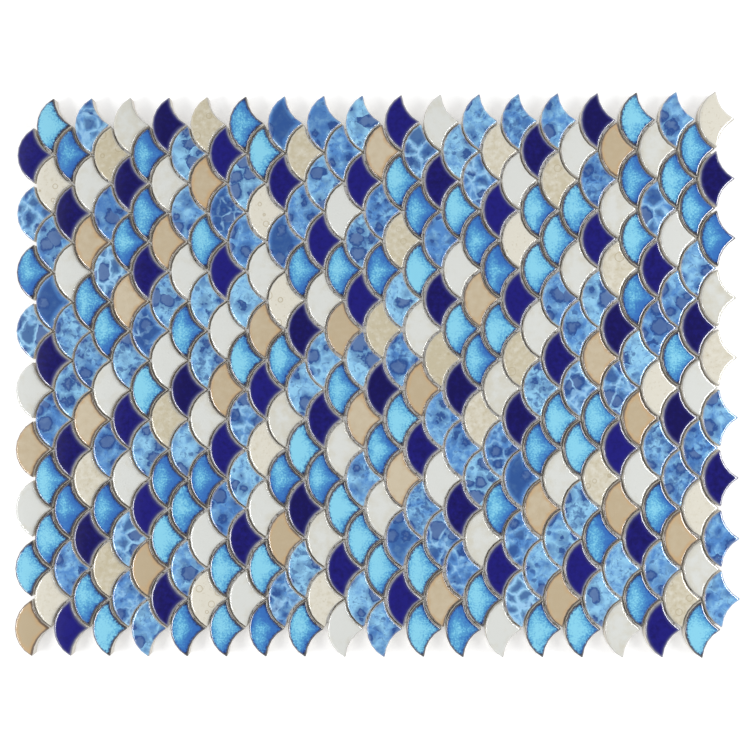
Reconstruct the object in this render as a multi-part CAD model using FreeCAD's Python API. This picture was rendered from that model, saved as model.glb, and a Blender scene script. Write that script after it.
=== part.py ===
import FreeCAD, Part
import math
import os
import random

# A panel of fish-scale mosaic. Each tile is a fan with one convex and two concave arcs, so that the
# columns interlock. The tiles keep an open joint all round and sit on one glass-fibre net.
# X runs across the columns towards the tips of the fans, Y along the columns, and Z is up.
# The origin lies under the middle of the panel, on the back of the net.

# Driving dimensions, in millimetres
COLUMN_PITCH = 11.85
TILE_PITCH = 36.0
JOINT = 1.0
TILE_THICKNESS = 6.0
TOP_ARRIS = 0.7
NET_THICKNESS = 0.5
NET_MARGIN = 2.0

# Size of the panel, in tiles
COLUMNS = 36
TILES_PER_COLUMN = 9

# The blend: how many tiles of each glaze a full panel has, and how they are dealt out
GLAZE_SHARES = {
    "cobalt": 53,
    "turquoise": 82,
    "marbled_blue": 95,
    "white": 43,
    "ivory": 26,
    "tan": 25,
}
GLAZES_THAT_MAY_MEET = ("turquoise", "marbled_blue")
BLEND_SEED = 4433
BLEND_LOOSENESS = 5.0

# Arcs of the fan, measured from the middle of its chord: the front arc bulges to -X, and the two side
# arcs run along the front arcs of the next column's tiles
HALF_PITCH = TILE_PITCH / 2
SCALE_RADIUS = (HALF_PITCH**2 + COLUMN_PITCH**2) / (2 * COLUMN_PITCH)
FRONT_RADIUS = SCALE_RADIUS - JOINT / 2
SIDE_RADIUS = SCALE_RADIUS + JOINT / 2
FRONT_CENTRE = FreeCAD.Vector(SCALE_RADIUS - COLUMN_PITCH, 0, 0)
SIDE_CENTRE = FreeCAD.Vector(SCALE_RADIUS, HALF_PITCH, 0)
FRONT_X = FRONT_CENTRE.x - FRONT_RADIUS
TIP_X = SCALE_RADIUS - math.sqrt(SIDE_RADIUS**2 - HALF_PITCH**2)

# Place of the panel: the first column's chord, and the middle line of the columns
LAST_COLUMN_X = (COLUMNS - 1) * COLUMN_PITCH
PANEL_MIDDLE_X = (FRONT_X + LAST_COLUMN_X + TIP_X) / 2
FIRST_HALF_ROW = 1
LAST_HALF_ROW = 2 * TILES_PER_COLUMN
PANEL_MIDDLE_Y = (FIRST_HALF_ROW + LAST_HALF_ROW) / 2 * HALF_PITCH


def mirrored(point):
    """The same point on the other side of the fan's own axis."""
    return FreeCAD.Vector(point.x, -point.y, point.z)


def fan_corner():
    """Where the front arc meets the side arc, at the end of the chord."""
    between = SIDE_CENTRE - FRONT_CENTRE
    distance = between.Length
    along = (FRONT_RADIUS**2 - SIDE_RADIUS**2 + distance**2) / (2 * distance)
    across = math.sqrt(FRONT_RADIUS**2 - along**2)
    direction = between / distance
    normal = FreeCAD.Vector(-direction.y, direction.x, 0)
    return FRONT_CENTRE + direction * along + normal * across


def arc(centre, radius, start, end):
    """The shorter arc about a centre from start to end."""
    middle = centre + (start + end - centre * 2).normalize() * radius
    return Part.Arc(start, middle, end).toShape()


def fan_tile():
    """One tile, with its chord's middle at the origin and its back on the XY plane."""
    corner = fan_corner()
    tip = FreeCAD.Vector(TIP_X, 0, 0)
    outline = Part.Wire(
        [
            arc(FRONT_CENTRE, FRONT_RADIUS, corner, mirrored(corner)),
            arc(mirrored(SIDE_CENTRE), SIDE_RADIUS, mirrored(corner), tip),
            arc(SIDE_CENTRE, SIDE_RADIUS, tip, corner),
        ]
    )
    blank = Part.Face(outline).extrude(FreeCAD.Vector(0, 0, TILE_THICKNESS))
    top_face = max(blank.Faces, key=lambda face: face.CenterOfMass.z)
    return blank.makeChamfer(TOP_ARRIS, top_face.Edges)


def panel_places():
    """Column and half-row of every tile. Odd columns start half a tile further up."""
    for column in range(COLUMNS):
        first = FIRST_HALF_ROW + (column + 1) % 2
        for half_row in range(first, first + 2 * TILES_PER_COLUMN, 2):
            yield column, half_row


def deal_glazes(places):
    """A glaze for every place, by the blend's shares. Plain glazes never lie beside their own kind."""
    hand = random.Random(BLEND_SEED)
    shares_total = sum(GLAZE_SHARES.values())
    dealt = dict.fromkeys(GLAZE_SHARES, 0)
    laid = {}
    for number, (column, half_row) in enumerate(places, start=1):
        beside = [(column - 1, half_row - 1), (column - 1, half_row + 1)]
        beside += [(column - 2, half_row), (column, half_row - 2)]
        barred = {laid.get(place) for place in beside} - set(GLAZES_THAT_MAY_MEET)
        urgency = {}
        for glaze, share in GLAZE_SHARES.items():
            chance = BLEND_LOOSENESS * hand.random()
            if glaze not in barred:
                urgency[glaze] = number * share / shares_total - dealt[glaze] + chance
        glaze = max(urgency, key=urgency.get)
        laid[column, half_row] = glaze
        dealt[glaze] += 1
    return laid


def place_vector(column, half_row):
    """Where the chord's middle of a tile lies in the panel."""
    x = column * COLUMN_PITCH - PANEL_MIDDLE_X
    y = PANEL_MIDDLE_Y - half_row * HALF_PITCH
    return FreeCAD.Vector(x, y, NET_THICKNESS)


def glazed_tiles(glaze, laid, tile):
    """All tiles of one glaze, as separate solids."""
    solids = []
    for place, its_glaze in laid.items():
        if its_glaze == glaze:
            solids.append(tile.translated(place_vector(*place)))
    return Part.makeCompound(solids)


def net():
    """The backing net, just inside the line where the border tiles leave notches."""
    length = LAST_COLUMN_X - 2 * NET_MARGIN
    width = (LAST_HALF_ROW - FIRST_HALF_ROW) * HALF_PITCH - 2 * NET_MARGIN
    corner = FreeCAD.Vector(NET_MARGIN - PANEL_MIDDLE_X, -width / 2, 0)
    return Part.makeBox(length, width, NET_THICKNESS, corner)


os.makedirs("parts", exist_ok=True)
TILE = fan_tile()
LAID = deal_glazes(list(panel_places()))
for GLAZE in GLAZE_SHARES:
    glazed_tiles(GLAZE, LAID, TILE).exportStep(f"parts/{GLAZE}_tiles.step")
net().exportStep("parts/mesh_backing.step")
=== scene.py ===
import math
import random

import bmesh
import bpy
from bpy.props import FloatProperty, FloatVectorProperty, PointerProperty
from mathutils import Euler, Matrix, Vector


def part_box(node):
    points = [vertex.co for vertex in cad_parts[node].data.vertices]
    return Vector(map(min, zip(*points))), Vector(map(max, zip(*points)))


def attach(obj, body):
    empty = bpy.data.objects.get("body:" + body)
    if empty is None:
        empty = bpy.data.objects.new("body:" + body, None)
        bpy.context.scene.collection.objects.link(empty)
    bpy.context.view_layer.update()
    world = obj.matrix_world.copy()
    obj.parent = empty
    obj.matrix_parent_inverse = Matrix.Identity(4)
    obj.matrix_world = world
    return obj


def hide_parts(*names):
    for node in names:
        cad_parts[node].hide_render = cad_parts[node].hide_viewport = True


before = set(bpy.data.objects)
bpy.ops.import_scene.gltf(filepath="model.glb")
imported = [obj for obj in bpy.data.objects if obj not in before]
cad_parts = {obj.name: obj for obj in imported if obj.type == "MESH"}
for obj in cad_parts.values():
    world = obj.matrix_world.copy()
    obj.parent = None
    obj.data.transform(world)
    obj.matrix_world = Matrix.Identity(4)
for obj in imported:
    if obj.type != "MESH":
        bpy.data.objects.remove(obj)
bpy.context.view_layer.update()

bl_info = {
    "name": "Fish Scale Mosaic",
    "version": (1, 0, 0),
    "blender": (4, 5, 0),
    "location": "View3D > Sidebar > Mosaic",
    "description": "Glazes the tiles of a fish scale mosaic panel and weaves the net that carries them",
    "category": "Object",
}

BODY = "root"
MM = 0.001


def srgb(red, green, blue):
    """A colour as it is seen on screen, 0 to 255, as linear light."""
    linear = []
    for value in (red, green, blue):
        share = value / 255
        linear.append(share / 12.92 if share <= 0.04045 else ((share + 0.055) / 1.055) ** 2.4)
    return tuple(linear)


def length(name, description, default):
    """A size in metres, as a property."""
    return FloatProperty(name=name, description=description, default=default, unit="LENGTH", precision=5)


def colour(name, description, red, green, blue):
    """A glaze or body colour, as a property."""
    return FloatVectorProperty(
        name=name,
        description=description,
        default=srgb(red, green, blue),
        subtype="COLOR",
        min=0,
        max=1,
    )


def angle(name, description, degrees):
    """An angle, as a property."""
    return FloatProperty(name=name, description=description, default=math.radians(degrees), subtype="ANGLE")


def strength(name, description, default):
    """How bright a surface or a part of the room is, as a property."""
    return FloatProperty(name=name, description=description, default=default, min=0)


def power(name, description, default):
    """The power of a lamp in watts, as a property."""
    return FloatProperty(name=name, description=description, default=default, min=0, unit="POWER")


def position(name, description, default):
    """A place in metres, as a property."""
    return FloatVectorProperty(name=name, description=description, default=default, subtype="TRANSLATION")


class FanTileSizes(bpy.types.PropertyGroup):
    """Sizes of one fan-shaped tile and how evenly the tiles are laid."""

    tile_pitch: length("Tile pitch", "From one tile to the next along a column", 36.0 * MM)
    column_pitch: length("Column pitch", "From one column of tiles to the next", 11.85 * MM)
    joint: length("Joint", "Open joint between neighbouring tiles", 1.0 * MM)
    tip_blunting: length("Tip blunting", "How far each arc stops short of a sharp tip", 0.6 * MM)
    shift: length("Shift", "Most that a tile is laid off its place", 0.12 * MM)
    sink: length("Sink", "Most that a tile is pressed lower than the highest ones", 0.1 * MM)
    turn: angle("Turn", "Most that a tile is turned in its place", 0.5)
    tilt: angle("Tilt", "Most that a tile leans out of level", 0.25)


class GlazeColours(bpy.types.PropertyGroup):
    """Colours of the six glazes and of the fired body under them."""

    body: colour("Body", "Unglazed fired body on the edges and back", 226, 222, 214)
    body_dark: colour("Body, dark", "Stains of the fired body", 206, 200, 189)
    # The rim colour is the thin glaze over the edge, painted darker as painted shade of the steep edge
    # beside the joint.
    rim: colour("Rim", "Thin glaze over the edge of a tile", 168, 166, 160)
    cobalt: colour("Cobalt", "Cobalt glaze", 8, 1, 82)
    cobalt_bright: colour("Bright cobalt", "Cobalt glaze of the brightest tiles", 24, 20, 124)
    # Painted highlight: a paler cobalt that lightens the glaze towards the edge, standing in for the soft
    # gloss along the rounded edge.
    cobalt_edge_highlight: colour("Cobalt edge", "Cobalt glaze where it lies thinner", 54, 55, 114)
    # The cobalt rim line is partly the glaze thinning pale over the edge and partly painted highlight.
    cobalt_rim_and_highlight: colour("Cobalt rim", "Line along the edge of the cobalt glaze", 116, 116, 142)
    turquoise: colour("Turquoise", "Reactive glaze where it pools", 92, 174, 220)
    turquoise_pale: colour("Pale turquoise", "Specks in the pool of the reactive glaze", 140, 214, 240)
    turquoise_blue: colour("Turquoise blue", "Reactive glaze between pool and edge", 54, 112, 190)
    turquoise_edge: colour("Turquoise edge", "Reactive glaze in the corners of a tile", 24, 50, 122)
    turquoise_rim: colour("Turquoise rim", "Reactive glaze where it burns dark at the edge", 20, 16, 30)
    cornflower: colour("Cornflower", "Ground of the marbled glaze", 84, 140, 206)
    cornflower_light: colour("Light cornflower", "Lighter clouds of the marbled glaze", 150, 208, 242)
    cornflower_pale: colour("Pale cornflower", "Veins of the marbled glaze", 158, 206, 242)
    cornflower_dark: colour("Dark cornflower", "Spots and eyes of the marbled glaze", 34, 72, 142)
    cornflower_grey: colour("Grey cornflower", "Heart of a large eye in the marbled glaze", 98, 128, 176)
    white: colour("White", "White glaze", 221, 223, 219)
    white_warm: colour("Warm white", "White glaze near the edge and on the warmest tiles", 211, 208, 194)
    ivory: colour("Ivory", "Ivory glaze of the palest tiles", 226, 222, 208)
    ivory_deep: colour("Deep ivory", "Ivory glaze of the deepest tiles", 200, 190, 162)
    ivory_ring: colour("Ivory ring", "Rings and craters of the ivory glaze", 178, 164, 130)
    tan: colour("Tan", "Caramel glaze of the deepest tiles", 193, 175, 144)
    tan_pale: colour("Pale tan", "Caramel glaze of the palest tiles", 210, 197, 172)
    tan_edge: colour("Tan edge", "Caramel glaze where it runs off the edge", 201, 170, 128)
    # The tan rim line is partly caramel glaze burnt at the edge and partly painted shade of the steep edge
    # beside the joint.
    tan_rim_and_shade: colour("Tan rim", "Caramel glaze burnt at the edge", 98, 72, 48)


class NetSizes(bpy.types.PropertyGroup):
    """The net on the back of the tiles."""

    mesh: length("Mesh", "From one thread to the next", 5.0 * MM)
    thread: length("Thread", "Width of a flattened thread", 0.4 * MM)
    thread_colour: colour("Thread colour", "Glass-fibre thread", 226, 224, 216)
    glue_colour: colour("Glue colour", "Glue dried on the threads", 214, 205, 184)


class StageSettings(bpy.types.PropertyGroup):
    """Floor, lamps and camera."""

    floor_colour: colour("Floor", "Plain pale floor", 240, 240, 240)
    floor_reach: length("Floor reach", "From the middle of the floor to its sides", 0.8)
    floor_drop: length("Floor drop", "How far the floor lies below the net", 0.1 * MM)
    floor_glow: strength("Floor glow", "Light that lifts the floor to white", 0.3)
    ambient: strength("Ambient", "Light from the walls all round", 0.62)
    overhead: strength("Overhead", "Light from the darker ceiling", 0.37)
    window: strength("Window", "Light that the left side adds", 0.6)
    left_lamp: power("Left lamp", "Power of the left lamp", 5.0)
    left_lamp_place: position("Left lamp place", "Middle of the left lamp", (-1.05, -0.36, 0.6))
    left_lamp_width: length("Left lamp width", "Width of the left lamp", 0.8)
    right_lamp: power("Right lamp", "Power of the right lamp", 8.0)
    right_lamp_place: position("Right lamp place", "Middle of the right lamp", (1.1, 0.0, 0.6))
    right_lamp_width: length("Right lamp width", "Width of the right lamp", 1.3)
    lamp_height: length("Lamp height", "Height of both lamps", 0.2)
    camera_place: position("Camera", "Place of the camera", (0.0088, -0.0089, 0.4588))
    camera_turn: FloatVectorProperty(
        name="Camera turn",
        description="Turn of the camera from straight down",
        default=(math.radians(1.056), math.radians(1.044), math.radians(-0.209)),
        subtype="EULER",
    )
    lens: FloatProperty(
        name="Lens",
        description="Focal length of the camera, in millimetres",
        default=36.0,
        unit="CAMERA",
    )
    sensor: FloatProperty(
        name="Sensor",
        description="Width of the camera's sensor, in millimetres",
        default=36.0,
        unit="CAMERA",
    )


class MosaicSettings(bpy.types.PropertyGroup):
    """All that a user would change."""

    tile: PointerProperty(type=FanTileSizes)
    glaze: PointerProperty(type=GlazeColours)
    net: PointerProperty(type=NetSizes)
    stage: PointerProperty(type=StageSettings)


# How a tile rounds off towards its edge: the way in from the outline, and the drop below the top of
# the tile, in millimetres
EDGE_PROFILE = (
    (0.0, 1.3),
    (0.28, 0.64),
    (0.85, 0.16),
    (1.9, 0.0),
)
FRONT_STEPS = 8
SIDE_STEPS = 4

# Corners of the CAD solids that lie this close together are one, and places this alike are in one row
MERGE_DISTANCE = 0.01 * MM
ROW_DIGITS = 5


class Fan:
    """The three arcs of a tile's outline, measured from the middle of its chord."""

    def __init__(self, sizes):
        self.half_pitch = sizes.tile_pitch / 2
        self.radius = (self.half_pitch**2 + sizes.column_pitch**2) / (2 * sizes.column_pitch)
        self.front_radius = self.radius - sizes.joint / 2
        self.side_radius = self.radius + sizes.joint / 2
        self.front_centre = Vector((self.radius - sizes.column_pitch, 0, 0))
        self.side_centre = Vector((self.radius, self.half_pitch, 0))
        self.front_x = self.front_centre.x - self.front_radius
        self.blunting = sizes.tip_blunting

    def corner(self, inset):
        """Where the front arc meets the side arc, with the outline moved in."""
        front, side = self.front_radius - inset, self.side_radius + inset
        between = self.side_centre - self.front_centre
        distance = between.length
        along = (front**2 - side**2 + distance**2) / (2 * distance)
        across = math.sqrt(front**2 - along**2)
        direction = between / distance
        return self.front_centre + direction * along + Vector((-direction.y, direction.x, 0)) * across

    def tip(self, inset):
        """Where the two side arcs meet, with the outline moved in."""
        return Vector((self.radius - math.sqrt((self.side_radius + inset) ** 2 - self.half_pitch**2), 0, 0))

    def arc(self, bm, centre, start, end, steps, height):
        """Spins an open arc about a centre, stopping short of the tips at both ends."""
        first, last = start - centre, end - centre
        sweep = first.xy.angle_signed(last.xy) * -1
        short = math.copysign(self.blunting / first.length, sweep)
        first.rotate(Euler((0, 0, short)))
        vert = bm.verts.new(centre + first + Vector((0, 0, height)))
        spun = bmesh.ops.spin(
            bm,
            geom=[vert],
            cent=centre,
            axis=(0, 0, 1),
            angle=sweep - 2 * short,
            steps=steps,
            use_merge=False,
        )
        final = next(item for item in spun["geom_last"] if isinstance(item, bmesh.types.BMVert))
        return vert, final

    def ring(self, bm, inset, height):
        """A closed loop of edges along the outline, moved in by inset."""
        before = set(bm.edges)
        flip = Matrix.Diagonal((1, -1, 1))
        corner, tip = self.corner(inset), self.tip(inset)
        ends = [
            self.arc(bm, self.front_centre, corner, flip @ corner, FRONT_STEPS, height),
            self.arc(bm, flip @ self.side_centre, flip @ corner, tip, SIDE_STEPS, height),
            self.arc(bm, self.side_centre, tip, corner, SIDE_STEPS, height),
        ]
        for number, (_, final) in enumerate(ends):
            start = ends[(number + 1) % len(ends)][0]
            bmesh.ops.contextual_create(bm, geom=[final, start])
        return [edge for edge in bm.edges if edge not in before]


def fan_tile(bm, sizes, thickness):
    """One tile in its own frame: foot, flank, rounded glaze and top.

    Every vertex keeps its plan and its way in from the outline, in millimetres, for the glaze.
    """
    fan = Fan(sizes)
    plan = bm.verts.layers.float_vector.new("plan")
    way_in = bm.verts.layers.float.new("way_in")
    rings = [fan.ring(bm, 0.0, 0.0)]
    for inset, drop in EDGE_PROFILE:
        rings.append(fan.ring(bm, inset * MM, thickness - drop * MM))
        for edge in rings[-1]:
            for vert in edge.verts:
                vert[way_in] = inset
    for lower, upper in zip(rings, rings[1:]):
        bmesh.ops.bridge_loops(bm, edges=lower + upper)
    bmesh.ops.edgeloop_fill(bm, edges=rings[0])
    bmesh.ops.edgeloop_fill(bm, edges=rings[-1])
    bmesh.ops.recalc_face_normals(bm, faces=bm.faces)
    for face in bm.faces:
        face.smooth = True
    for edge in rings[0]:
        edge.smooth = False
    for vert in bm.verts:
        vert[plan] = vert.co / MM
    return fan


def islands(bm):
    """The separate solids of a merged mesh, as lists of vertices."""
    left = set(bm.verts)
    found = []
    while left:
        seed = left.pop()
        island, border = [seed], [seed]
        while border:
            vert = border.pop()
            for edge in vert.link_edges:
                other = edge.other_vert(vert)
                if other in left:
                    left.remove(other)
                    island.append(other)
                    border.append(other)
        found.append(island)
    return found


def tile_places(node, fan):
    """Where the chord's middle of each tile of a CAD node lies, in reading order."""
    bm = bmesh.new()
    bm.from_mesh(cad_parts[node].data)
    bmesh.ops.remove_doubles(bm, verts=bm.verts, dist=MERGE_DISTANCE)
    places = []
    for island in islands(bm):
        x = min(vert.co.x for vert in island) - fan.front_x
        y = [vert.co.y for vert in island]
        places.append(Vector((x, (min(y) + max(y)) / 2, min(vert.co.z for vert in island))))
    bm.free()
    return sorted(places, key=lambda place: (round(-place.y, ROW_DIGITS), round(place.x, ROW_DIGITS)))


def uneven_lie(hand, sizes):
    """How far off its place and out of level one tile is laid."""
    tilts = [hand.uniform(-sizes.tilt, sizes.tilt) for _ in range(2)]
    turn = hand.uniform(-sizes.turn, sizes.turn)
    shifts = [hand.uniform(-sizes.shift, sizes.shift) for _ in range(2)]
    sink = hand.uniform(0, sizes.sink)
    return Vector((*shifts, -sink)), Euler((*tilts, turn)).to_matrix().to_4x4()


def lay_tiles(node, sizes):
    """All tiles of a node as one mesh, each a little uneven and with a character of its own."""
    low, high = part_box(node)
    bm = bmesh.new()
    fan = fan_tile(bm, sizes, high.z - low.z)
    character = bm.verts.layers.float_vector.new("character")
    pattern = bm.verts[:] + bm.edges[:] + bm.faces[:]
    hand = random.Random(node)
    for place in tile_places(node, fan):
        copy = bmesh.ops.duplicate(bm, geom=pattern)
        verts = [item for item in copy["geom"] if isinstance(item, bmesh.types.BMVert)]
        shift, lean = uneven_lie(hand, sizes)
        bmesh.ops.transform(bm, matrix=Matrix.Translation(place + shift) @ lean, verts=verts)
        own = Vector([hand.random() for _ in range(3)])
        for vert in verts:
            vert[character] = own
    bmesh.ops.delete(bm, geom=pattern, context="VERTS")
    return finished_piece(bm, node)


def finished_piece(bm, name):
    """A mesh object at the origin that rides on the panel and stands for its CAD node."""
    mesh = bpy.data.meshes.new(name)
    bm.to_mesh(mesh)
    bm.free()
    piece = bpy.data.objects.new(f"{name}_piece", mesh)
    bpy.context.scene.collection.objects.link(piece)
    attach(piece, BODY)
    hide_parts(name)
    return piece


class Wire:
    """An output socket in a node tree. Arithmetic on it adds Math nodes."""

    def __init__(self, tree, socket=None):
        self.tree = tree
        self.socket = socket

    def node(self, kind, settings=None, sockets=None, output=0):
        """Adds a node: its settings first, then the values or links of its sockets."""
        made = self.tree.nodes.new(kind)
        for name, value in (settings or {}).items():
            setattr(made, name, value)
        for name, value in (sockets or {}).items():
            if isinstance(value, Wire):
                self.tree.links.new(value.socket, made.inputs[name])
            else:
                made.inputs[name].default_value = value
        return Wire(self.tree, made.outputs[output])

    def math(self, operation, *values):
        """A Math node on wires and numbers."""
        return self.node("ShaderNodeMath", {"operation": operation}, dict(enumerate(values)))

    def __add__(self, other):
        return self.math("ADD", self, other)

    __radd__ = __add__

    def __sub__(self, other):
        return self.math("SUBTRACT", self, other)

    def __rsub__(self, other):
        return self.math("SUBTRACT", other, self)

    def __mul__(self, other):
        return self.math("MULTIPLY", self, other)

    __rmul__ = __mul__

    def __pow__(self, other):
        return self.math("POWER", self, other)

    def output(self, name):
        """Another output of the node that this wire comes from."""
        return Wire(self.tree, self.socket.node.outputs[name])

    def parts(self):
        """The three values of a vector."""
        split = self.node("ShaderNodeSeparateXYZ", None, {"Vector": self})
        return [split.output(axis) for axis in "XYZ"]


# Sockets of a Mix node for colours, whose names repeat: the share, the two colours and the result
MIX_SHARE = 0
MIX_FIRST = 6
MIX_SECOND = 7
MIX_RESULT = 2


def step(value, low, high):
    """Rises smoothly from 0 to 1 as a value goes from low to high."""
    return value.node(
        "ShaderNodeMapRange",
        {"interpolation_type": "SMOOTHSTEP"},
        {"Value": value, "From Min": low, "From Max": high},
    )


def mix(share, first, second):
    """The first colour where share is 0, the second where it is 1."""
    sockets = {MIX_SHARE: share}
    for number, value in ((MIX_FIRST, first), (MIX_SECOND, second)):
        sockets[number] = value if isinstance(value, Wire) else (*value, 1.0)
    return share.node("ShaderNodeMix", {"data_type": "RGBA"}, sockets, MIX_RESULT)


def noise(place, size, detail=2.0):
    """Cloudy noise with features of a size in millimetres."""
    return place.node("ShaderNodeTexNoise", None, {"Vector": place, "Scale": 1 / size, "Detail": detail})


def swirled(place, size, amount):
    """A place bent by cloudy noise, by so many millimetres."""
    swirl = place.node("ShaderNodeTexNoise", None, {"Vector": place, "Scale": 1 / size}, "Color")
    reach = (amount, amount, amount)
    return place.node("ShaderNodeVectorMath", {"operation": "MULTIPLY_ADD"}, {0: swirl, 1: reach, 2: place})


def cells(place, size, feature="F1"):
    """Distance in a pattern of cells of a size in millimetres, as a share of that size."""
    return place.node("ShaderNodeTexVoronoi", {"feature": feature}, {"Vector": place, "Scale": 1 / size})


# How the glazes read a tile, in millimetres: where they leave the facets of the edge for the true arcs, how
# softly they round the corners, how much nearer to the front arc than to the sides they pool, and how far
# apart in the noise two tiles may lie
FACETS_END = (1.4, EDGE_PROFILE[-1][0])
CORNER_SOFTNESS = 4.0
FRONT_LEAD = 3.0
NOISE_SPREAD = (700.0, 900.0, 1100.0)


def attribute(tree, name, output="Vector"):
    """What the vertices of a tile keep under a name."""
    return Wire(tree).node("ShaderNodeAttribute", {"attribute_name": name}, None, output)


class TileSurface:
    """What every glaze reads: the place on the tile in millimetres, and the tile's own character."""

    def __init__(self, tree, fan):
        plan = attribute(tree, "plan")
        way_in = attribute(tree, "way_in", "Fac")
        character = attribute(tree, "character")
        self.x, self.y, _ = plan.parts()
        self.tone, self.mark, self.drift = character.parts()
        self.place = plan.node(
            "ShaderNodeVectorMath",
            {"operation": "MULTIPLY_ADD"},
            {0: character, 1: NOISE_SPREAD, 2: plan},
        )
        front = fan.front_radius / MM - self.away_from(fan.front_centre / MM, self.y)
        side = self.away_from(fan.side_centre / MM, self.y.math("ABSOLUTE", self.y)) - fan.side_radius / MM
        nearest = front.math("MINIMUM", front, side)
        to_facets = (way_in - nearest) * (1 - step(way_in, *FACETS_END))
        self.edge = nearest + to_facets
        self.corner = front.math("SMOOTH_MIN", front, side, CORNER_SOFTNESS) + to_facets
        self.tips = front.math("SMOOTH_MIN", front + FRONT_LEAD, side, CORNER_SOFTNESS)

    def away_from(self, centre, y):
        """Distance in plan from a point."""
        return ((self.x - centre.x) ** 2 + (y - centre.y) ** 2) ** 0.5


def cobalt_face(surface, glaze):
    """Deep even blue, lightened towards the edge by a painted highlight, with a rim line that is partly the
    glaze thinning over the edge and partly painted highlight.
    """
    wander = (noise(surface.place, 4.0) - 0.5) * 1.2
    cloud = noise(surface.place, 2.5, 3.0) - 0.5
    face = mix(step(surface.tone + cloud * 2.0, -0.2, 1.2), glaze.cobalt, glaze.cobalt_bright)
    # Painted highlight: the cobalt is lightened towards the edge.
    face = mix(step(surface.edge + wander, 0.7, 2.8), glaze.cobalt_edge_highlight, face)
    # Rim line: partly pale thin glaze, partly painted highlight.
    return mix(step(surface.edge, 0.3, 1.35), glaze.cobalt_rim_and_highlight, face)


def turquoise_face(surface, glaze):
    """A speckled turquoise pool that runs through royal blue to a burnt line."""
    cloud = noise(surface.place, 9.0) - 0.5
    speck = noise(surface.place, 1.0, 4.0) - 0.5
    slope = surface.x * (surface.mark - 0.5) + surface.y * (surface.drift - 0.5)
    pool = surface.tips + cloud * 7.0 + slope * 0.4 - surface.tone * 7.0 - 0.5
    face = mix(step(pool + speck * 9.0, -5.0, 2.5), glaze.turquoise_blue, glaze.turquoise)
    face = mix(step(pool + speck * 18.0, -1.0, 6.0), face, glaze.turquoise_pale)
    face = mix(step(surface.corner + speck * 3.0, 0.6, 2.3), glaze.turquoise_edge, face)
    return mix(step(surface.corner + speck * 1.5, 0.5, 1.35), glaze.turquoise_rim, face)


def marbled_face(surface, glaze):
    """Cornflower clouds with ringed eyes, specks and thin lines.

    Some tiles are mottled, some have pale veins, and a few are washed over with the dark blue.
    """
    fuzz = noise(surface.place, 1.5, 3.0) - 0.5
    bent = swirled(surface.place, 6.0, 5.0)
    cloud = noise(bent, 5.0, 4.0) - 0.5 + (surface.tone - 0.5) * 0.35
    ground = mix(step(cloud + fuzz * 0.3, -0.26, 0.22), glaze.cornflower, glaze.cornflower_light)
    away = cells(bent, 10.0)
    eye = away.output("Color") * 0.75 - 0.04 - away + fuzz * 0.3
    halo = step(eye, -0.34, -0.02) * 0.5
    ring = step(eye, -0.1, 0.06)
    small = cells(bent, 4.5)
    speck = step(small.output("Color") * 0.8 - 0.34 - small + fuzz * 0.4, -0.1, 0.1)
    stretch = noise(bent, 6.0) - 0.5
    line = (1 - step(stretch.math("ABSOLUTE", stretch), 0.0, 0.05)) * step(fuzz, -0.08, 0.1)
    mottle = step(noise(bent, 3.2, 3.0), 0.46, 0.64) * (1 - step(surface.drift, 0.25, 0.3))
    web = cells(bent, 10.0, "DISTANCE_TO_EDGE")
    veined = step(surface.mark, 0.72, 0.76)
    cell = step(web + cloud * 0.25, 0.04, 0.26) * veined
    wash = (1 - step(surface.tone, 0.05, 0.09)) * step(surface.edge + cloud * 4.0, -1.0, 3.0)
    dark = halo
    for other in (ring, speck * 0.7, line * 0.6, mottle * 0.75, cell * 0.85, wash * 0.9):
        dark = dark.math("MAXIMUM", dark, other)
    face = mix(dark * 0.95, ground, glaze.cornflower_dark)
    heart = step(eye, 0.07, 0.2) * (step(cloud, -0.3, 0.3) * 0.4 + 0.5)
    face = mix(heart, face, glaze.cornflower_grey)
    vein = (1 - step(web, 0.02, 0.09)) * veined
    return mix(vein * step(cloud, -0.35, 0.2), face, glaze.cornflower_pale)


def white_face(surface, glaze):
    """Plain white, warmer towards the edge."""
    cloud = noise(surface.place, 5.0, 4.0) - 0.5
    inner = step(surface.edge * 0.6 + cloud * 18.0 + surface.tone * 7.0, -2.0, 8.5)
    return mix(inner, glaze.white_warm, glaze.white)


def ivory_face(surface, glaze):
    """Pale or deep ivory with rings where bubbles burst in the glaze."""
    cloud = noise(surface.place, 3.0, 4.0) - 0.5
    face = mix(step(surface.tone + cloud * 1.3, -0.1, 0.8), glaze.ivory_deep, glaze.ivory)
    bubble = cells(surface.place, 8.0)
    reach = bubble.output("Color") * 0.4
    ring = step(bubble - reach, -0.05, 0.0) * (1 - step(bubble - reach, 0.0, 0.05))
    pit = step(noise(surface.place, 1.4, 3.0), 0.58, 0.72)
    marks = ring.math("MAXIMUM", ring * step(surface.mark, 0.35, 0.6), pit * 0.5)
    return mix(marks * 0.7, face, glaze.ivory_ring)


def tan_face(surface, glaze):
    """Caramel that runs warmer towards the edges and ends in a dark line that is partly burnt glaze and
    partly painted shade.
    """
    run = surface.corner + (noise(surface.place, 4.0) - 0.5) * 4.0 - surface.tone * 1.5
    middle = mix(step(surface.mark + (run - surface.corner) * 0.25, -0.2, 1.1), glaze.tan, glaze.tan_pale)
    face = mix(step(run, -0.4, 2.6), glaze.tan_edge, middle)
    # A dark line at the edge: partly burnt glaze, partly painted shade.
    return mix(step(surface.edge + (run - surface.corner) * 0.15, 0.3, 1.3), glaze.tan_rim_and_shade, face)


# Finish of the tiles. The bead is the thick roll of glaze along the edge
BODY_ROUGHNESS = 0.8
GLAZE_ROUGHNESS = 0.07
GLAZE_IOR = 1.42
BEAD_IOR = 1.8
RELIEF_STRENGTH = 0.35


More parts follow.
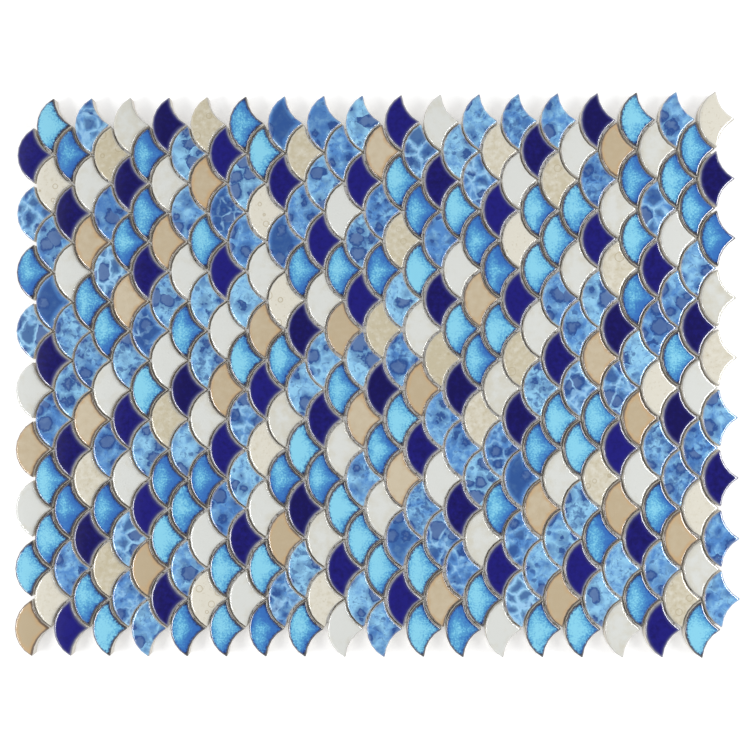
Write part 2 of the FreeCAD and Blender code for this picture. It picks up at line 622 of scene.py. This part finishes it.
def glazed_material(name, face_of, rim_width, settings):
    """Bare body on the back and flanks, a rim line along the edge that is thin glaze darkened by painted
    shade, and the glaze's own face.
    """
    glaze = settings.glaze
    material = bpy.data.materials.new(name)
    material.use_nodes = True
    tree = material.node_tree
    shader = tree.nodes["Principled BSDF"]
    surface = TileSurface(tree, Fan(settings.tile))
    face = face_of(surface, glaze)
    grit = noise(surface.place, 0.5, 4.0)
    drip = noise(surface.place, 2.5) - 0.5
    body = mix(step(grit, 0.35, 0.75), glaze.body, glaze.body_dark)
    glazed = step(surface.edge + drip * 0.2, 0.02, 0.2)
    # The rim line: thin glaze over the edge, with painted shade that darkens the steep edge beside the
    # joint.
    rim_glaze_and_shade = step(surface.edge + drip * 0.4, 0.1, rim_width)
    skin = mix(glazed, body, mix(rim_glaze_and_shade, glaze.rim, face))
    ripple = noise(surface.place, 3.0) * 0.02 + noise(surface.place, 0.8) * 0.004
    relief = ripple * glazed + grit * (1 - glazed) * 0.05
    bump = relief.node(
        "ShaderNodeBump",
        None,
        {"Strength": RELIEF_STRENGTH, "Distance": MM, "Height": relief},
    )
    roughness = BODY_ROUGHNESS - glazed * (BODY_ROUGHNESS - GLAZE_ROUGHNESS)
    bead = glazed * step(surface.edge, 0.2, 0.45) * (1 - step(surface.edge, 1.0, 1.5))
    tree.links.new(skin.socket, shader.inputs["Base Color"])
    tree.links.new(roughness.socket, shader.inputs["Roughness"])
    tree.links.new(bead.socket, shader.inputs["Coat Weight"])
    tree.links.new(bump.socket, shader.inputs["Normal"])
    shader.inputs["IOR"].default_value = GLAZE_IOR
    shader.inputs["Coat IOR"].default_value = BEAD_IOR
    return material


class TileOperator:
    """Shared by the operators that lay the tiles of one glaze."""

    bl_options = {"REGISTER", "UNDO"}
    rim_width = 0.75

    def execute(self, context):
        settings = context.scene.mosaic
        piece = lay_tiles(self.node, settings.tile)
        piece.data.materials.append(glazed_material(self.slot, self.face, self.rim_width, settings))
        return {"FINISHED"}


class MOSAIC_OT_cobalt_tiles(TileOperator, bpy.types.Operator):
    """Lays the cobalt tiles"""

    bl_idname = "mosaic.cobalt_tiles"
    bl_label = "Cobalt Tiles"
    node = "cobalt_tiles"
    slot = "cobalt_glaze"
    face = staticmethod(cobalt_face)
    rim_width = 0.5


class MOSAIC_OT_turquoise_tiles(TileOperator, bpy.types.Operator):
    """Lays the turquoise tiles"""

    bl_idname = "mosaic.turquoise_tiles"
    bl_label = "Turquoise Tiles"
    node = "turquoise_tiles"
    slot = "turquoise_glaze"
    face = staticmethod(turquoise_face)
    rim_width = 0.25


class MOSAIC_OT_marbled_blue_tiles(TileOperator, bpy.types.Operator):
    """Lays the marbled blue tiles"""

    bl_idname = "mosaic.marbled_blue_tiles"
    bl_label = "Marbled Blue Tiles"
    node = "marbled_blue_tiles"
    slot = "marbled_blue_glaze"
    face = staticmethod(marbled_face)
    rim_width = 0.5


class MOSAIC_OT_white_tiles(TileOperator, bpy.types.Operator):
    """Lays the white tiles"""

    bl_idname = "mosaic.white_tiles"
    bl_label = "White Tiles"
    node = "white_tiles"
    slot = "white_glaze"
    face = staticmethod(white_face)


class MOSAIC_OT_ivory_tiles(TileOperator, bpy.types.Operator):
    """Lays the ivory tiles"""

    bl_idname = "mosaic.ivory_tiles"
    bl_label = "Ivory Tiles"
    node = "ivory_tiles"
    slot = "ivory_glaze"
    face = staticmethod(ivory_face)


class MOSAIC_OT_tan_tiles(TileOperator, bpy.types.Operator):
    """Lays the tan tiles"""

    bl_idname = "mosaic.tan_tiles"
    bl_label = "Tan Tiles"
    node = "tan_tiles"
    slot = "tan_glaze"
    face = staticmethod(tan_face)
    rim_width = 0.25


# How far the edges of a thread are rounded, as a share of its thickness
THREAD_ROUNDING = 0.3


def thread(bm, low, high):
    """One flattened thread between two corners of its box."""
    middle, size = (low + high) / 2, high - low
    matrix = Matrix.Translation(middle) @ Matrix.Diagonal((*size, 1))
    made = bmesh.ops.create_cube(bm, size=1.0, matrix=matrix)
    edges = {edge for vert in made["verts"] for edge in vert.link_edges}
    bmesh.ops.bevel(
        bm,
        geom=list(edges),
        offset=min(size) * THREAD_ROUNDING,
        offset_type="OFFSET",
        affect="EDGES",
        segments=2,
        profile=0.5,
        material=-1,
    )


def net_material(net):
    """Glass-fibre thread with glue dried on it."""
    material = bpy.data.materials.new("glass_fibre_net")
    material.use_nodes = True
    tree = material.node_tree
    shader = tree.nodes["Principled BSDF"]
    place = Wire(tree).node("ShaderNodeTexCoord", output="Object")
    place = place.node("ShaderNodeVectorMath", {"operation": "SCALE"}, {0: place, "Scale": 1 / MM})
    glue = step(noise(place, 9.0, 3.0), 0.45, 0.6)
    fibre = noise(place, 0.2, 2.0)
    skin = mix(glue, net.thread_colour, net.glue_colour)
    bump = fibre.node("ShaderNodeBump", None, {"Strength": 0.4, "Distance": 0.1 * MM, "Height": fibre})
    tree.links.new(skin.socket, shader.inputs["Base Color"])
    tree.links.new((0.7 - glue * 0.35).socket, shader.inputs["Roughness"])
    tree.links.new(bump.socket, shader.inputs["Normal"])
    return material


class MOSAIC_OT_mesh_backing(bpy.types.Operator):
    """Lays the net that the tiles are glued to"""

    bl_idname = "mosaic.mesh_backing"
    bl_label = "Mesh Backing"
    bl_options = {"REGISTER", "UNDO"}

    def execute(self, context):
        net = context.scene.mosaic.net
        low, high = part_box("mesh_backing")
        middle_z = (low.z + high.z) / 2
        bm = bmesh.new()
        for axis, bottom, top in ((0, low.z, middle_z), (1, middle_z, high.z)):
            span = high[axis] - low[axis] - net.thread
            count = round(span / net.mesh)
            for number in range(count + 1):
                first, last = low.copy(), high.copy()
                first.z, last.z = bottom, top
                first[axis] = low[axis] + span * number / count
                last[axis] = first[axis] + net.thread
                thread(bm, first, last)
        piece = finished_piece(bm, "mesh_backing")
        piece.data.materials.append(net_material(net))
        return {"FINISHED"}


def background_rays(tree):
    """1 for the rays that show the background: the camera's, and those off gloss and through glass."""
    seen = Wire(tree).node("ShaderNodeLightPath", output="Is Camera Ray")
    for name in ("Is Glossy Ray", "Is Transmission Ray"):
        seen = seen.math("MAXIMUM", seen, seen.node("ShaderNodeLightPath", output=name))
    return seen


def floor_material(stage):
    """Plain pale floor that shows white as a background and keeps the object's shadow."""
    material = bpy.data.materials.new("pale_floor")
    material.use_nodes = True
    tree = material.node_tree
    shader = tree.nodes["Principled BSDF"]
    shader.inputs["Base Color"].default_value = (*stage.floor_colour, 1)
    shader.inputs["Roughness"].default_value = 0.9
    glow = mix(background_rays(tree), (0, 0, 0), (stage.floor_glow,) * 3)
    tree.links.new(glow.socket, shader.inputs["Emission Color"])
    shader.inputs["Emission Strength"].default_value = 1.0
    return material


# How far up the darker ceiling begins and is full, and how far to the left the window does, from the middle
# of the room: 1 is straight up, and -1 is straight to the left
CEILING = (0.6, 0.85)
WINDOW = (-0.25, -0.75)


def room(stage):
    """Pale walls all round under a darker ceiling, brighter on the left."""
    world = bpy.data.worlds.new("room")
    world.use_nodes = True
    tree = world.node_tree
    right, _, up = Wire(tree).node("ShaderNodeTexCoord", output="Generated").parts()
    ceiling = step(up, *CEILING)
    light = stage.ambient - ceiling * (stage.ambient - stage.overhead)
    light = light + step(right, *WINDOW) * stage.window
    light = light.math("MAXIMUM", light, background_rays(tree) * (1 - ceiling))
    background = tree.nodes["Background"]
    tree.links.new(light.socket, background.inputs["Strength"])
    background.inputs["Color"].default_value = (1, 1, 1, 1)
    return world


def side_lamp(name, place, width, height, watts):
    """A soft box that looks at the panel from one side."""
    data = bpy.data.lights.new(name, "AREA")
    data.shape = "ELLIPSE"
    data.size = width
    data.size_y = height
    data.energy = watts
    lamp = bpy.data.objects.new(name, data)
    lamp.location = place
    lamp.rotation_euler = (-Vector(place)).to_track_quat("-Z", "Y").to_euler()
    bpy.context.scene.collection.objects.link(lamp)


def pale_floor(stage):
    """A flat square just below the net."""
    bm = bmesh.new()
    below = Matrix.Translation((0, 0, -stage.floor_drop))
    bmesh.ops.create_grid(bm, x_segments=1, y_segments=1, size=stage.floor_reach, matrix=below)
    mesh = bpy.data.meshes.new("floor")
    bm.to_mesh(mesh)
    bm.free()
    floor = bpy.data.objects.new("floor", mesh)
    bpy.context.scene.collection.objects.link(floor)
    floor.data.materials.append(floor_material(stage))
    return floor


# The nearest that a thing may be to the camera and still show, in metres
NEAREST_SIGHT = 0.01


def overhead_camera(stage):
    """A camera that looks down on the panel."""
    data = bpy.data.cameras.new("camera")
    data.sensor_width = stage.sensor
    data.lens = stage.lens
    data.clip_start = NEAREST_SIGHT
    camera = bpy.data.objects.new("camera", data)
    camera.location = stage.camera_place
    camera.rotation_euler = stage.camera_turn
    bpy.context.scene.collection.objects.link(camera)
    return camera


class MOSAIC_OT_stage(bpy.types.Operator):
    """Sets up floor, lamps and camera"""

    bl_idname = "mosaic.stage"
    bl_label = "Stage"
    bl_options = {"REGISTER", "UNDO"}

    def execute(self, context):
        scene = context.scene
        stage = scene.mosaic.stage
        floor = pale_floor(stage)
        scene.world = room(stage)
        height = stage.lamp_height
        side_lamp("left_lamp", stage.left_lamp_place, stage.left_lamp_width, height, stage.left_lamp)
        side_lamp("right_lamp", stage.right_lamp_place, stage.right_lamp_width, height, stage.right_lamp)
        scene.camera = overhead_camera(stage)
        scene.view_settings.view_transform = "Standard"
        return {"FINISHED"}


OPERATORS = (
    MOSAIC_OT_cobalt_tiles,
    MOSAIC_OT_turquoise_tiles,
    MOSAIC_OT_marbled_blue_tiles,
    MOSAIC_OT_white_tiles,
    MOSAIC_OT_ivory_tiles,
    MOSAIC_OT_tan_tiles,
    MOSAIC_OT_mesh_backing,
    MOSAIC_OT_stage,
)


class MOSAIC_PT_panel(bpy.types.Panel):
    """Lists the steps that make the panel"""

    bl_label = "Fish Scale Mosaic"
    bl_idname = "MOSAIC_PT_panel"
    bl_space_type = "VIEW_3D"
    bl_region_type = "UI"
    bl_category = "Mosaic"

    def draw(self, context):
        for operator in OPERATORS:
            self.layout.operator(operator.bl_idname)


CLASSES = (
    FanTileSizes,
    GlazeColours,
    NetSizes,
    StageSettings,
    MosaicSettings,
    *OPERATORS,
    MOSAIC_PT_panel,
)


def register():
    """Adds the classes and the settings to Blender."""
    for cls in CLASSES:
        bpy.utils.register_class(cls)
    bpy.types.Scene.mosaic = PointerProperty(type=MosaicSettings)


def unregister():
    """Takes the settings and the classes out of Blender again."""
    del bpy.types.Scene.mosaic
    for cls in reversed(CLASSES):
        bpy.utils.unregister_class(cls)


def main():
    """Makes all pieces and the stage."""
    register()
    bpy.ops.mosaic.cobalt_tiles()
    bpy.ops.mosaic.turquoise_tiles()
    bpy.ops.mosaic.marbled_blue_tiles()
    bpy.ops.mosaic.white_tiles()
    bpy.ops.mosaic.ivory_tiles()
    bpy.ops.mosaic.tan_tiles()
    bpy.ops.mosaic.mesh_backing()
    bpy.ops.mosaic.stage()


if __name__ == "__main__":
    main()
